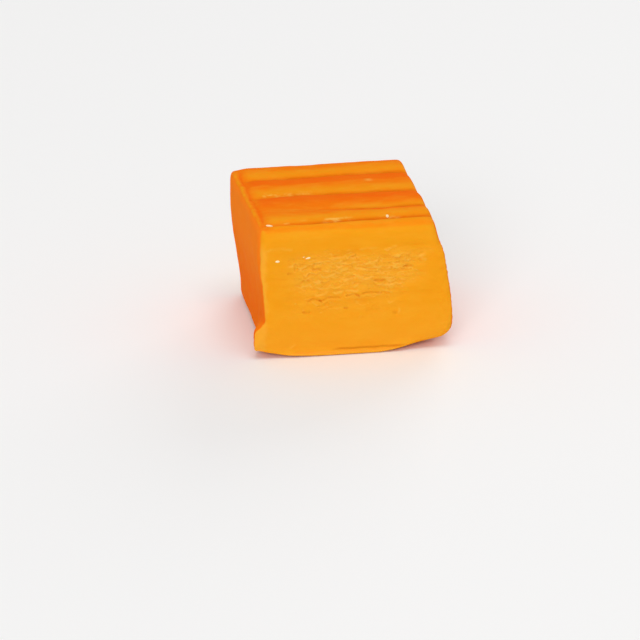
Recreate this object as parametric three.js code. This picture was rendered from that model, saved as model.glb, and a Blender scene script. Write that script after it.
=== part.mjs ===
// An orange fruit chew: one soft sweet, cut from a bar of pulled and coloured sugar.
// The top keeps the ridges of the forming rollers. Cutting has dragged the front into a torn,
// pleated face, squeezed a thin lip out along its base and left an ear at one lower corner.
// Millimetres, +Z up. X runs along the ridges, -Y is the torn front, the base lies at z = 0.
import * as THREE from "three";
import { mergeVertices } from "three/addons/utils/BufferGeometryUtils.js";

const { clamp, lerp, smoothstep, seededRandom } = THREE.MathUtils;

// Driving dimensions
const LENGTH = 20.8; // along the ridges, at mid height
const HEIGHT = 15.1; // base to ridge crests
const RIDGE_WIDTHS = [4.2, 6.1, 5.2, 3.8, 1.6]; // from the back ridge to the front one

// Roller grooves between the ridges
const GROOVE_DEPTH = 0.5;
const GROOVE_WANDER = 0.2; // how far a groove strays from a straight line
const GROOVE_WAVES = [
  { first: 0.21, second: 1.9, share: 0.7 },
  { first: 0.52, second: 4.1, share: 0.3 },
];
const GROOVE_HOOK = { reach: 0.5, share: 0.125, full: 0.6, none: 2.6 }; // grooves turn forwards at the rim
const FADED_GROOVE = { index: 2, from: -7.5, to: 2.5, kept: 0.15 }; // shallow over its left half
const RIM = { width: 1.0, valley: 0.14, spread: 0.45 }; // raised left end of the top
const WIPED = { kept: 0.25, outer: 0.65, inner: 1.75 }; // grooves are wiped away this close to the left end
const SCALLOP = { reach: 2.4, full: 0.4 }; // how far down the end faces the ridge profile shows

// Radii of the rounded edges
const UPRIGHT_RADIUS = { front: 0.5, back: 1.6 }; // corners of the side walls
const TOP_RADIUS = { left: 1.15, right: 0.5, front: 2.5, back: 1.4, drop: 1.05, frontDrop: 1.75 };
const BASE_RADIUS = { left: 0.5, right: 1.5, drop: 0.5, rightDrop: 2.2 };
const BLEND = { top: 6, crest: 0.5, foot: 4, right: 6, front: 5 }; // one edge's radii pass into the next

// Leaning walls
const LEFT_WALL = { foot: -9.85, backTuck: 0.55, frontLean: 0.65, backLean: 1.3, height: 12.5 };
const RIGHT_WALL = { fullest: 10.85, fullestHeight: 3.5, spread: 2.05, curve: 1.3 };
const END_LEAN = 0.25; // the front and back walls come in by this at the top

// Underside: flat in the middle, rising towards both ends, and soonest along the front
const LEFT_LIFT = { slope: 0.055, flat: -7.6, frontFlat: -4 };
const RIGHT_LIFT = { slope: 0.16, flat: 6.2, frontFlat: 2.2 };
const LIFT_DEPTH = 3; // how far in from the front the sooner rise reaches
const DRAWN_UP = { reach: 0.2, from: 0.75, full: 0.95 }; // behind it, edges rise between the corners
const LIFT_HEIGHT = 4.5; // the walls above this keep their height

// Lip along the foot of the front, and the ear at its left end
const LIP = { from: -8.5, to: 5.5, fade: 1.6, reach: 0.38, flat: 0.15, height: 0.6 };
const CREASE = { depth: 0.12, height: 0.85, spread: 0.4 }; // above the lip
const EAR = { reach: 1.35, forward: 0.2, lift: 0.5, crest: 2.2, top: 4.4, width: 2.6, length: 5.5 };

// Torn band of the front and back walls: rows of short tears under the edge of the top skin
const TORN = { low: 4.5, high: 12.0, left: -7.5, right: 8, fade: 1.5 };
const TEAR_SEED = 29;
const TEAR_ROWS = 8;
const TEARS_PER_ROW = 8;
const TEAR_DEPTH = 0.24;
const TEAR_WAVE = 0.22; // how far a row rises and falls
const TEAR_WAVES = [
  { first: 0.55, second: 0.9, share: 0.6 },
  { first: 1.3, second: -1.1, share: 0.4 },
];
const TEAR_SLOPE = 0.07; // rows climb to the right
const TEAR_FOCUS = 4; // rows shift only close to the front and back walls
const SKIN_STEP = { depth: 0.16, below: 2 }; // the torn band lies behind the skin above it
const BACK_SHARE = 0.6; // the back is torn less deeply than the front

// Mesh lines: along the ridges, across each ridge, and up the foot, torn band and crown
const LINES_X = 36;
const LINES_PER_RIDGE = [5, 6, 5, 5, 4];
const LINES_Z = { foot: 7, torn: 2 * TEAR_ROWS, crown: 6 };
const CROWDING = { ends: 0.4, ridge: 0.8, upright: 1.7 };

const DEPTH = RIDGE_WIDTHS.reduce((sum, width) => sum + width, 0);
const HALF_LENGTH = LENGTH / 2;
const FRONT = -DEPTH / 2;
const BACK = DEPTH / 2;

// Y of each groove, from the back one to the front one
const GROOVES = RIDGE_WIDTHS.slice(0, -1).map(
  (_, ridge) => BACK - RIDGE_WIDTHS.slice(0, ridge + 1).reduce((sum, width) => sum + width, 0),
);

// Strength of each tear along each row, fixed by the seed
seededRandom(TEAR_SEED);
const TEARS = Array.from({ length: TEAR_ROWS }, () =>
  Array.from({ length: TEARS_PER_ROW + 1 }, () => seededRandom()),
);

// 1 inside a stretch and 0 outside it, with soft ends.
function stretch(value, { from, to, fade }) {
  return smoothstep(value, from - fade, from + fade) * (1 - smoothstep(value, to - fade, to + fade));
}

function bell(value, centre, spread) {
  return Math.exp(-(((value - centre) / spread) ** 2));
}

// Sum of sine waves over two coordinates.
function waveSum(waves, first, second) {
  const heights = waves.map((wave) => wave.share * Math.sin(wave.first * first + wave.second * second));
  return heights.reduce((sum, height) => sum + height, 0);
}

// Lines from 0 to 1, drawn towards both ends by the share crowding.
function crowdedLines(count, crowding) {
  return Array.from({ length: count + 1 }, (_, line) => {
    const even = line / count;
    return lerp(even, (1 - Math.cos(even * Math.PI)) / 2, crowding);
  });
}

// Y of the mesh lines: each ridge is divided on its own, so that a line follows every groove.
function linesAcrossRidges() {
  const lines = [FRONT];
  for (let ridge = RIDGE_WIDTHS.length - 1; ridge >= 0; ridge--) {
    const near = lines.at(-1);
    const shares = crowdedLines(LINES_PER_RIDGE[ridge], CROWDING.ridge).slice(1);
    lines.push(...shares.map((share) => near + share * RIDGE_WIDTHS[ridge]));
  }
  return lines;
}

// Z of the mesh lines: close together at the base and the top, and two to each row of tears.
function linesUpwards() {
  const lines = [];
  for (let line = 0; line < LINES_Z.foot; line++) {
    lines.push(TORN.low * (line / LINES_Z.foot) ** CROWDING.upright);
  }
  for (let line = 0; line < LINES_Z.torn; line++) {
    lines.push(lerp(TORN.low, TORN.high, line / LINES_Z.torn));
  }
  for (let line = LINES_Z.crown; line >= 0; line--) {
    lines.push(HEIGHT - (HEIGHT - TORN.high) * (line / LINES_Z.crown) ** CROWDING.upright);
  }
  return lines;
}

// Radii at a point of the sharp box: tight on the side walls, wider at the top and at the right foot.
function edgeRadii({ x, y, z }) {
  const towardsTop = smoothstep(z, HEIGHT - BLEND.top, HEIGHT - BLEND.crest);
  const towardsFoot = 1 - smoothstep(z, 0, BLEND.foot);
  const towardsRight = smoothstep(x, HALF_LENGTH - BLEND.right, HALF_LENGTH);
  const towardsFront = 1 - smoothstep(y, FRONT, FRONT + BLEND.front);
  const corner = y < 0 ? UPRIGHT_RADIUS.front : UPRIGHT_RADIUS.back;
  const endTop = x < 0 ? TOP_RADIUS.left : TOP_RADIUS.right;
  const endFoot = x < 0 ? BASE_RADIUS.left : BASE_RADIUS.right;
  const sideTop = y < 0 ? TOP_RADIUS.front : TOP_RADIUS.back;
  const topDrop = lerp(TOP_RADIUS.drop, TOP_RADIUS.frontDrop, towardsFront);
  const baseDrop = lerp(BASE_RADIUS.drop, BASE_RADIUS.rightDrop, towardsRight);
  return new THREE.Vector3(
    lerp(lerp(corner, endTop, towardsTop), endFoot, towardsFoot),
    lerp(corner, sideTop, towardsTop),
    z > HEIGHT / 2 ? topDrop : baseDrop,
  );
}

// Moves a point of the sharp box on to the box with rounded edges.
function roundEdges(point) {
  const radii = edgeRadii(point);
  const core = new THREE.Vector3(
    clamp(point.x, radii.x - HALF_LENGTH, HALF_LENGTH - radii.x),
    clamp(point.y, FRONT + radii.y, BACK - radii.y),
    clamp(point.z, radii.z, HEIGHT - radii.z),
  );
  const reach = point.clone().sub(core).divide(radii);
  const largest = Math.max(Math.abs(reach.x), Math.abs(reach.y), Math.abs(reach.z));
  return reach.multiplyScalar(largest / reach.length()).multiply(radii).add(core);
}

// How far a groove strays from its straight line at x.
function grooveShift(groove, x) {
  const atRim = 1 - smoothstep(x, GROOVE_HOOK.full - HALF_LENGTH, GROOVE_HOOK.none - HALF_LENGTH);
  const hook = Math.min(GROOVE_HOOK.reach, RIDGE_WIDTHS[groove + 1] * GROOVE_HOOK.share) * atRim;
  return GROOVE_WANDER * waveSum(GROOVE_WAVES, x, groove) - hook;
}

// The same for any line across the ridges: still at the front and back, shared between two grooves.
function lineShift(x, y) {
  const posts = [BACK, ...GROOVES, FRONT];
  const shifts = [0, ...GROOVES.map((_, groove) => grooveShift(groove, x)), 0];
  const after = clamp(posts.findIndex((post) => post <= y), 1, posts.length - 1);
  const share = (posts[after - 1] - y) / (posts[after - 1] - posts[after]);
  return lerp(shifts[after - 1], shifts[after], share);
}

function grooveDepth(groove, x) {
  const wiped = lerp(WIPED.kept, 1, smoothstep(x, WIPED.outer - HALF_LENGTH, WIPED.inner - HALF_LENGTH));
  const { index, from, to, kept } = FADED_GROOVE;
  const faded = groove === index ? lerp(kept, 1, smoothstep(x, from, to)) : 1;
  return GROOVE_DEPTH * wiped * faded;
}

// How far the top lies below the crests: sharp grooves with rounded ridges between them.
function ridgeDrop(x, y) {
  let drop = RIM.valley * bell(x, RIM.width - HALF_LENGTH, RIM.spread);
  GROOVES.forEach((centre, groove) => {
    const ridge = y > centre ? groove : groove + 1;
    const away = Math.abs(y - centre) / (RIDGE_WIDTHS[ridge] / 2);
    drop += grooveDepth(groove, x) * Math.max(0, 1 - away) ** 2;
  });
  return drop;
}

function leftWall(y, z) {
  const rise = smoothstep(z, 0, LEFT_WALL.height);
  const front = LEFT_WALL.foot - LEFT_WALL.frontLean * rise ** 2;
  const back = LEFT_WALL.foot + LEFT_WALL.backTuck - LEFT_WALL.backLean * rise;
  return lerp(front, back, (y - FRONT) / DEPTH);
}

function rightWall(z) {
  const above = Math.max(0, z - RIGHT_WALL.fullestHeight) / (HEIGHT - RIGHT_WALL.fullestHeight);
  return RIGHT_WALL.fullest - RIGHT_WALL.spread * above ** RIGHT_WALL.curve;
}

// Strength of one row of tears at x, passing smoothly from each tear to the next.
function tearStrength(row, x) {
  const place = clamp((x - TORN.left) / (TORN.right - TORN.left), 0, 1) * TEARS_PER_ROW;
  const first = Math.min(Math.floor(place), TEARS_PER_ROW - 1);
  return lerp(TEARS[row][first], TEARS[row][first + 1], smoothstep(place - first, 0, 1)) ** 2;
}

// How far a torn wall lies behind the plain one: a step under the skin, then row after row of tears.
function tornRelief(x, z) {
  const place = ((z - TORN.low) / (TORN.high - TORN.low)) * TEAR_ROWS;
  const row = Math.floor(place);
  if (row < 0 || row >= TEAR_ROWS) {
    return 0;
  }
  const open = 1 - 2 * Math.abs(place - row - 0.5);
  const nearSkin = smoothstep(z, TORN.low, TORN.high - SKIN_STEP.below);
  const underSkin = SKIN_STEP.depth * nearSkin * tearStrength(TEAR_ROWS - 1, x);
  const spread = stretch(x, { from: TORN.left, to: TORN.right, fade: TORN.fade });
  return (underSkin + TEAR_DEPTH * open * tearStrength(row, x)) * spread;
}

// How far a row of tears rises or falls at x.
function rowShift(x, z) {
  const inBand = stretch(z, { from: TORN.low, to: TORN.high, fade: TORN.fade });
  return (TEAR_SLOPE * x + TEAR_WAVE * waveSum(TEAR_WAVES, x, z)) * inBand;
}

function frontWall(x, z) {
  const along = stretch(x, LIP);
  const lip = LIP.reach * along * (1 - smoothstep(z, LIP.flat, LIP.height));
  const crease = CREASE.depth * along * bell(z, CREASE.height, CREASE.spread);
  return FRONT + END_LEAN * (z / HEIGHT) ** 2 - lip + crease + tornRelief(x, z);
}

function backWall(x, z) {
  return BACK - END_LEAN * (z / HEIGHT) ** 2 - BACK_SHARE * tornRelief(-x, z);
}

// Lift of the underside, full at the base and gone higher up.
function baseLift(x, y, z) {
  const inFront = 1 - smoothstep(y, FRONT, FRONT + LIFT_DEPTH);
  const flatFrom = lerp(LEFT_LIFT.flat, LEFT_LIFT.frontFlat, inFront);
  const flatTo = lerp(RIGHT_LIFT.flat, RIGHT_LIFT.frontFlat, inFront);
  const left = LEFT_LIFT.slope * Math.max(0, flatFrom - x);
  const right = RIGHT_LIFT.slope * Math.max(0, x - flatTo);
  const along = Math.min(1, Math.abs(2 * x - flatFrom - flatTo) / (flatTo - flatFrom));
  const across = Math.abs(2 * y) / DEPTH;
  const atSides = smoothstep(across, DRAWN_UP.from, DRAWN_UP.full) * (1 - along ** 2);
  const atEnds = smoothstep(along, DRAWN_UP.from, DRAWN_UP.full) * (1 - across ** 2);
  const drawnUp = DRAWN_UP.reach * (1 - inFront) * (atSides + atEnds);
  return (left + right + drawnUp) * (1 - smoothstep(z, 0, LIFT_HEIGHT));
}

// Share of the ear's pull at a point: full low down at the left corner of the front.
function earPull(x, y, z) {
  const alongFront = 1 - smoothstep(x, -HALF_LENGTH, -HALF_LENGTH + EAR.width);
  const alongEnd = 1 - smoothstep(y, FRONT, FRONT + EAR.length);
  return alongFront * alongEnd * (1 - smoothstep(z, EAR.crest, EAR.top));
}

// Takes a point of the sharp box to its place on the chew.
function chewPoint(boxPoint) {
  const { x, y, z } = roundEdges(boxPoint);
  const ear = earPull(x, y, z);
  const onTop = smoothstep(z, HEIGHT - SCALLOP.reach, HEIGHT - SCALLOP.full);
  const onWall = (Math.abs(2 * y) / DEPTH) ** TEAR_FOCUS;
  const across = (x + HALF_LENGTH) / LENGTH;
  const inwards = (y - FRONT) / DEPTH;
  return new THREE.Vector3(
    lerp(leftWall(y, z), rightWall(z), across) - EAR.reach * ear,
    lerp(frontWall(x, z), backWall(x, z), inwards) - EAR.forward * ear + onTop * lineShift(x, y),
    z + baseLift(x, y, z) + EAR.lift * ear - onTop * ridgeDrop(x, y) + onWall * rowShift(x, z),
  );
}

// Puts the origin under the middle of the box round the chew, with the base at z = 0.
function centreOnBase(geometry) {
  geometry.computeBoundingBox();
  const { min, max } = geometry.boundingBox;
  geometry.translate(-(min.x + max.x) / 2, -(min.y + max.y) / 2, -min.z);
}

function chewGeometry() {
  const linesX = crowdedLines(LINES_X, CROWDING.ends).map((line) => lerp(-HALF_LENGTH, HALF_LENGTH, line));
  const linesY = linesAcrossRidges();
  const linesZ = linesUpwards();
  const counts = [linesX, linesY, linesZ].map((lines) => lines.length - 1);
  const box = new THREE.BoxGeometry(...counts, ...counts);
  box.deleteAttribute("normal");
  box.deleteAttribute("uv");
  const geometry = mergeVertices(box);
  const position = geometry.getAttribute("position");
  for (let vertex = 0; vertex < position.count; vertex++) {
    const boxPoint = new THREE.Vector3(
      linesX[Math.round(position.getX(vertex) + counts[0] / 2)],
      linesY[Math.round(position.getY(vertex) + counts[1] / 2)],
      linesZ[Math.round(position.getZ(vertex) + counts[2] / 2)],
    );
    position.setXYZ(vertex, ...chewPoint(boxPoint));
  }
  centreOnBase(geometry);
  geometry.computeVertexNormals();
  return geometry;
}

const orangeChew = new THREE.MeshStandardMaterial({ color: 0xfb8c14, roughness: 0.45, metalness: 0 });

const chew = new THREE.Mesh(chewGeometry(), orangeChew);
chew.name = "chew";

const part = new THREE.Group();
part.add(chew);

export default part;
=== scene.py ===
# Orange fruit chew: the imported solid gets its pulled-sugar surface, and stands in a small white studio.
import math
from types import SimpleNamespace

import bmesh
import bpy
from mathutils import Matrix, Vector
from mathutils.bvhtree import BVHTree


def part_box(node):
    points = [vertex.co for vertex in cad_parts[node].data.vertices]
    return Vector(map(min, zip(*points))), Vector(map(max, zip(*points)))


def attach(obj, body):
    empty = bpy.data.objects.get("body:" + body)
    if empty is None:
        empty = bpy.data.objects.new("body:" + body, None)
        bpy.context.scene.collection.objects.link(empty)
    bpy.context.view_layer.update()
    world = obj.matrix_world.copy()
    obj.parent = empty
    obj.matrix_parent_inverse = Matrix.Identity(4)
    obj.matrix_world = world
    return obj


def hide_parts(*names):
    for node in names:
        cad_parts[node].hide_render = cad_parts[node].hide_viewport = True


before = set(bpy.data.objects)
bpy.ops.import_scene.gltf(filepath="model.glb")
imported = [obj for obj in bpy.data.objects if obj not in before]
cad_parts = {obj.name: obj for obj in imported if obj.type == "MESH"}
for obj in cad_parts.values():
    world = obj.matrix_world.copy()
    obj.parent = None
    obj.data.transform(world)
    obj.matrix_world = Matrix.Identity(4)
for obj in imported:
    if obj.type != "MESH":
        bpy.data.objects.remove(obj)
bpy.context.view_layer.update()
mm = 0.001  # lengths below are in millimetres unless a note says otherwise
print("frame loaded, nodes:", sorted(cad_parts))


# Node helpers

class NodePen:
    # writes nodes into one tree; most of its methods give back an output socket

    def __init__(self, tree):
        self.tree = tree

    def feed(self, socket, value):
        # a socket is linked, anything else becomes the socket's own value
        if isinstance(value, bpy.types.NodeSocket):
            self.tree.links.new(value, socket)
        else:
            socket.default_value = value

    def add(self, kind, inputs=None, **settings):
        node = self.tree.nodes.new(kind)
        for name, value in settings.items():
            setattr(node, name, value)
        for key, value in (inputs or {}).items():
            self.feed(node.inputs[key], value)
        return node

    def operate(self, kind, operation, values):
        node = self.add(kind, operation=operation)
        for socket, value in zip(node.inputs, values):
            self.feed(socket, value)
        return node.outputs[0]

    def calc(self, operation, *values):
        return self.operate("ShaderNodeMath", operation, values)

    def vector(self, operation, *values):
        return self.operate("ShaderNodeVectorMath", operation, values)

    def scaled(self, vector, amount):
        node = self.add("ShaderNodeVectorMath", {"Vector": vector, "Scale": amount}, operation="SCALE")
        return node.outputs[0]

    def chain(self, operation, values):
        result = values[0]
        for value in values[1:]:
            result = self.calc(operation, result, value)
        return result

    def product(self, *values):
        return self.chain("MULTIPLY", values)

    def total(self, *values):
        return self.chain("ADD", values)

    def most(self, *values):
        return self.chain("MAXIMUM", values)

    def minus(self, first, second):
        return self.calc("SUBTRACT", first, second)

    def split(self, vector):
        return self.add("ShaderNodeSeparateXYZ", {"Vector": vector}).outputs

    def join(self, x=0.0, y=0.0, z=0.0):
        return self.add("ShaderNodeCombineXYZ", {"X": x, "Y": y, "Z": z}).outputs[0]

    def ramp(self, value, fromLow, fromHigh, toLow=0.0, toHigh=1.0):
        # soft step from one value to another
        node = self.add("ShaderNodeMapRange", interpolation_type="SMOOTHSTEP")
        labels = ("Value", "From Min", "From Max", "To Min", "To Max")
        for label, amount in zip(labels, (value, fromLow, fromHigh, toLow, toHigh)):
            self.feed(node.inputs[label], amount)
        return node.outputs[0]

    def band(self, value, low, high, fade):
        # 1 between two values, 0 outside them
        return self.product(self.ramp(value, low - fade, low + fade),
                            self.ramp(value, high - fade, high + fade, 1.0, 0.0))

    def bell(self, distance, width):
        # 1 at no distance, dying out over the width
        share = self.calc("DIVIDE", distance, width)
        return self.calc("EXPONENT", self.product(share, share, -1.0))

    def noise(self, vector, scale, detail=2.0, roughness=0.5, stretch=(1, 1, 1), shift=(0, 0, 0)):
        placed = self.vector("MULTIPLY_ADD", vector, stretch, shift)
        settings = {"Vector": placed, "Scale": scale, "Detail": detail, "Roughness": roughness}
        return self.add("ShaderNodeTexNoise", settings).outputs[0]

    def sway(self, vector, scale, reach, **settings):
        # noise about zero, from minus to plus half its reach
        return self.product(self.minus(self.noise(vector, scale, **settings), 0.5), reach)

    def patchy(self, vector, between, least, **settings):
        # noise turned into soft patches of 1, with a least share around them
        return self.ramp(self.noise(vector, **settings), *between, least, 1.0)

    def drift(self, vector, scale):
        # noise about zero along all three axes
        colour = self.add("ShaderNodeTexNoise", {"Vector": vector, "Scale": scale}).outputs["Color"]
        return self.vector("SUBTRACT", colour, (0.5, 0.5, 0.5))

    def randomValue(self, kind, low, high, seed):
        # the node keeps one pair of limits for each kind of value, all under the same names
        node = self.add("FunctionNodeRandomValue", data_type=kind)
        limits = [socket for socket in node.inputs if socket.name in ("Min", "Max") and socket.enabled]
        self.feed(limits[0], low)
        self.feed(limits[1], high)
        self.feed(next(socket for socket in node.inputs if socket.name == "Seed"), seed)
        return next(socket for socket in node.outputs if socket.enabled)


socketKinds = {int: "NodeSocketInt", float: "NodeSocketFloat", bpy.types.Material: "NodeSocketMaterial"}


def newTree(name, sizes):
    # one named input for each size
    tree = bpy.data.node_groups.new(name, "GeometryNodeTree")
    tree.interface.new_socket("Geometry", in_out="INPUT", socket_type="NodeSocketGeometry")
    for label, value in sizes.items():
        tree.interface.new_socket(label, in_out="INPUT", socket_type=socketKinds[type(value)])
    tree.interface.new_socket("Geometry", in_out="OUTPUT", socket_type="NodeSocketGeometry")
    pen = NodePen(tree)
    return pen, pen.add("NodeGroupInput").outputs, pen.add("NodeGroupOutput")


def endTree(pen, geometry, finish, output):
    whole = pen.add("GeometryNodeRealizeInstances", {"Geometry": geometry})
    dressed = pen.add("GeometryNodeSetMaterial", {"Geometry": whole.outputs[0], "Material": finish})
    pen.feed(output.inputs["Geometry"], dressed.outputs[0])


def plainMesh(piece):
    bpy.context.view_layer.update()
    grown = bpy.data.meshes.new_from_object(piece.evaluated_get(bpy.context.evaluated_depsgraph_get()))
    piece.modifiers.clear()
    piece.data = grown
    grown.name = piece.name


def growMesh(piece, tree, sizes):
    # runs a tree on a piece and leaves it with the plain mesh that comes out
    grower = piece.modifiers.new(tree.name, "NODES")
    grower.node_group = tree
    for item in tree.interface.items_tree:
        if item.in_out == "INPUT" and item.name in sizes:
            grower[item.identifier] = sizes[item.name]
    plainMesh(piece)


def addObject(name, data):
    thing = bpy.data.objects.new(name, data)
    bpy.context.scene.collection.objects.link(thing)
    return thing


def newMaterial(name):
    material = bpy.data.materials.new(name)
    material.use_nodes = True
    return material, NodePen(material.node_tree), material.node_tree.nodes["Principled BSDF"]


def setInputs(shader, values):
    for name, value in values.items():
        shader.inputs[name].default_value = value


def objectPlace(pen):
    # Object coordinates in millimetres
    return pen.scaled(pen.add("ShaderNodeTexCoord").outputs["Object"], 1 / mm)


def blend(pen, share, first, second):
    node = pen.add("ShaderNodeMix", data_type="RGBA")
    colours = [socket for socket in node.inputs if socket.type == "RGBA"]
    pen.feed(node.inputs["Factor"], share)
    pen.feed(colours[0], first)
    pen.feed(colours[1], second)
    return next(socket for socket in node.outputs if socket.type == "RGBA")


# Orange pulled sugar; the scale of a noise is in patches per millimetre

orangeSugar = {
    "skin": (0.93, 0.190, 0.0050, 1),
    "ends": (0.985, 0.208, 0.0110, 1),   # the plain ends, left and right, painted redder than the skin to make up for the light they lack
    "cut": (0.880, 0.343, 0.0105, 1),    # the cut faces, front and back, painted lighter: painted light from the front
    "paintedShade": (0.93, 0.139, 0.0040, 1),    # painted shade: the back of a ridge, the left rim's valley and the lower ends
    "drawn": (0.91, 0.288, 0.0080, 1),   # painted highlight: the front of a ridge facing the light, the roll and the left rim
    "torn": (0.900, 0.386, 0.0250, 1),   # the torn front, paler than the cut faces and carrying the same painted light
    "fleckAndHighlight": (0.98, 0.640, 0.1300, 1),   # pale flecks, and painted highlights on raised edges
    "crack": (0.62, 0.180, 0.0045, 1),   # painted shade in tears, cracks, pits and the foot crease
    "groove": (0.58, 0.107, 0.0008, 1),  # painted shade along the roller grooves
    "airy": (0.93, 0.450, 0.0350, 1),    # cloudy patches with more air pulled in
    "mottle": {"scale": 0.9, "detail": 4.0, "roughness": 0.6, "stretch": (0.42, 1, 1)},
    "airyFrom": (0.4, 0.68),             # mottle over which the cloudy patches set in
    "airyShare": 0.16,
    "airyEnds": 0.35,                    # the ends and the painted shade are less cloudy
    "grain": {"scale": 9.0, "detail": 4.0, "roughness": 0.6},
    "grainDepth": 0.010,
    "roughSkin": 0.46,
    "roughTorn": 0.60,
    "roughSway": {"scale": 1.2, "reach": 0.16},
    "lightBend": 1.46,
    "lightDepth": (0.70, 0.15, 0.06),    # how far red, green and blue light travel inside
    "depthShare": 0.2,
    "lightOnward": 0.3,                  # how much of it keeps its direction
    "shine": 0.0005,                     # the skin is dull: hardly any sky shows in it
}


def makeOrangeSugar():
    look = orangeSugar
    material, pen, shader = newMaterial("orangeSugar")
    place = objectPlace(pen)
    masks = ("ends", "cut", "paintedShade", "drawn", "torn", "fleckAndHighlight", "crack", "groove")
    share = {name: pen.add("ShaderNodeAttribute", attribute_name=name).outputs["Fac"] for name in masks}

    colour = look["skin"]
    for name in masks:
        colour = blend(pen, share[name], colour, look[name])
    mottle = pen.noise(place, **look["mottle"])
    cloudy = pen.product(pen.ramp(mottle, *look["airyFrom"], 0.0, look["airyShare"]),
                         pen.ramp(pen.total(share["ends"], share["paintedShade"]), 0.0, 1.0, 1.0, look["airyEnds"]))
    pen.feed(shader.inputs["Base Color"], blend(pen, cloudy, colour, look["airy"]))

    rough = pen.ramp(share["torn"], 0.0, 1.0, look["roughSkin"], look["roughTorn"])
    pen.feed(shader.inputs["Roughness"], pen.total(rough, pen.sway(place, **look["roughSway"])))

    grain = pen.noise(place, **look["grain"])
    bump = pen.add("ShaderNodeBump", {"Height": grain, "Distance": look["grainDepth"] * mm})
    pen.feed(shader.inputs["Normal"], bump.outputs["Normal"])

    setInputs(shader, {
        "IOR": look["lightBend"],
        "Specular IOR Level": look["shine"],
        "Subsurface Weight": look["depthShare"],
        "Subsurface Radius": look["lightDepth"],
        "Subsurface Scale": mm,
        "Subsurface Anisotropy": look["lightOnward"],
    })
    return material


# The chew's mesh: the solid made round, with more faces where it is torn

chewMesh = {
    "mergeWithin": 0.002,
    "pairFlat": 60,       # degrees between two triangles that become one face
    "pairShape": 100,     # degrees by which its corners may be out of square
    "grooveAbove": 14.0,  # folds on the solid above this height are roller grooves
    "grooveFold": -0.2,   # radians; sharper folds than this are grooves
    "grooveAlong": 0.8,   # where they run along the chew, and not across it
    "grooveCrease": 0.8,
    "smoothLevel": 3,     # the round surface that all points lie on
    "startLevel": 1,      # faces before the front, top and back get more
    "facing": 0.55,       # how squarely a face looks forward, up or back to get more
}

# Places on the front that get more faces once again.
finePatches = {
    "torn": {"x": (-9.6, 9.6), "z": (3.6, 12.4), "facing": 0.9},
    "foot": {"x": (-8.5, 6.5), "z": (0.2, 1.3), "facing": 0.6},
}


def readCage():
    # the solid's surface, with doubles merged and triangle pairs turned back to four-sided faces
    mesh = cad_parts["chew"].data.copy()
    mesh.materials.clear()
    cage = bmesh.new()
    cage.from_mesh(mesh)
    bmesh.ops.remove_doubles(cage, verts=cage.verts, dist=chewMesh["mergeWithin"] * mm)
    bmesh.ops.join_triangles(cage, faces=cage.faces,
                             angle_face_threshold=math.radians(chewMesh["pairFlat"]),
                             angle_shape_threshold=math.radians(chewMesh["pairShape"]))
    crease = cage.edges.layers.float.new("crease_edge")
    for edge in cage.edges:
        high = min(point.co.z for point in edge.verts) > chewMesh["grooveAbove"] * mm
        first, second = edge.verts
        lengthwise = abs((second.co - first.co).normalized().x) > chewMesh["grooveAlong"]
        if high and lengthwise and edge.calc_face_angle_signed() < chewMesh["grooveFold"]:
            edge[crease] = chewMesh["grooveCrease"]
    cage.to_mesh(mesh)
    cage.free()
    return mesh


def roundedMesh(cage, level):
    helper = addObject("rounding", cage.copy())
    rounding = helper.modifiers.new("rounding", "SUBSURF")
    rounding.levels = level
    rounding.render_levels = level
    plainMesh(helper)
    mesh = helper.data
    bpy.data.objects.remove(helper)
    return mesh


def splitFaces(shape, wanted):
    edges = {edge for face in shape.faces if wanted(face) for edge in face.edges}
    bmesh.ops.subdivide_edges(shape, edges=list(edges), cuts=1, use_grid_fill=True, use_single_edge=True)


def looksOut(face):
    # forward, up or back, but not to the ends or down
    return abs(face.normal.y) > chewMesh["facing"] or face.normal.z > chewMesh["facing"]


def inPatch(face, patch):
    middle = face.calc_center_median() / mm
    return (-face.normal.y > patch["facing"]
            and patch["x"][0] < middle.x < patch["x"][1]
            and patch["z"][0] < middle.z < patch["z"][1])


def inFinePatch(face):
    return any(inPatch(face, patch) for patch in finePatches.values())


def chewSurface():
    cage = readCage()
    smooth = bmesh.new()
    smooth.from_mesh(roundedMesh(cage, chewMesh["smoothLevel"]))
    target = BVHTree.FromBMesh(smooth)
    smooth.free()
    mesh = roundedMesh(cage, chewMesh["startLevel"])
    shape = bmesh.new()
    shape.from_mesh(mesh)
    splitFaces(shape, looksOut)
    shape.normal_update()
    splitFaces(shape, inFinePatch)
    for point in shape.verts:
        point.co = target.find_nearest(point.co)[0]
    shape.to_mesh(mesh)
    shape.free()
    print("chew mesh:", len(mesh.polygons), "faces")
    return mesh


# The chew's relief

# Besides depths and widths, some sizes set painted shade in grooves, tears, cracks and pits, and painted
# highlights along raised scars and edges.
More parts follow.
